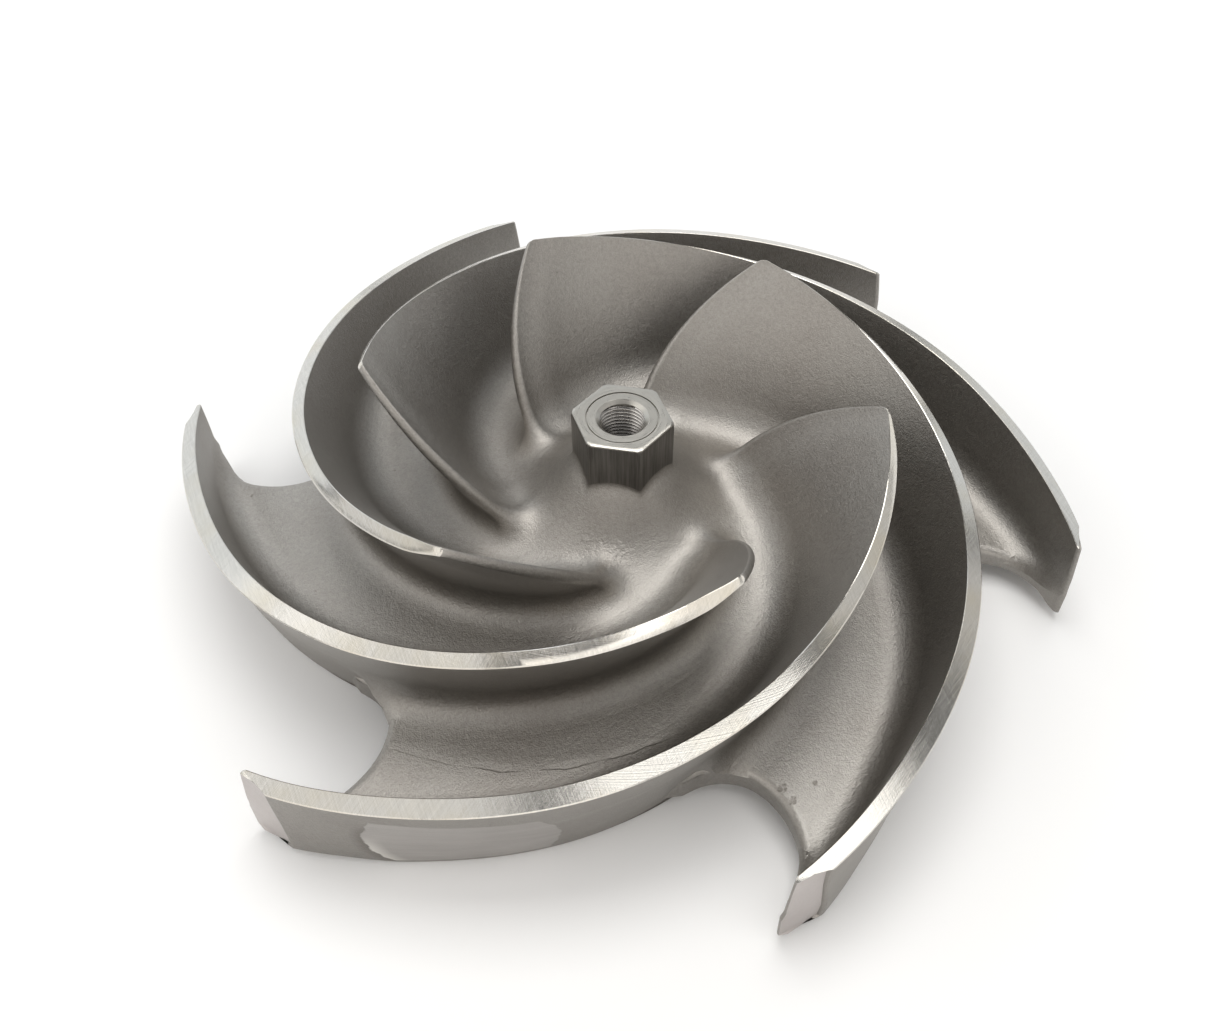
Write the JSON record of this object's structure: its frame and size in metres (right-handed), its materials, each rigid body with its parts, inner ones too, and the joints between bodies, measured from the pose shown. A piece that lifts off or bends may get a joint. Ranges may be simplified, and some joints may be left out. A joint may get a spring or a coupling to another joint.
{
  "type": "pump impeller",
  "caption": "Open mixed-flow pump impeller cast in one piece, with twisted vanes on a scalloped back shroud and a hexagonal nose with a tapped hole.",
  "frame": {"origin": "on the shaft axis, in the plane of the machined back face that the impeller rests on", "axes": "+Z along the shaft axis towards the suction side and the hexagonal nose; -Y towards the viewer of the picture"},
  "size_m": [0.2508, 0.246, 0.0619],
  "materials": {
    "cast_stainless": "as-cast satin stainless with machined vane edges, rim, nose and back"
  },
  "bodies": {
    "root": {"impeller_casting": "cast_stainless"}
  },
  "joints": []
}
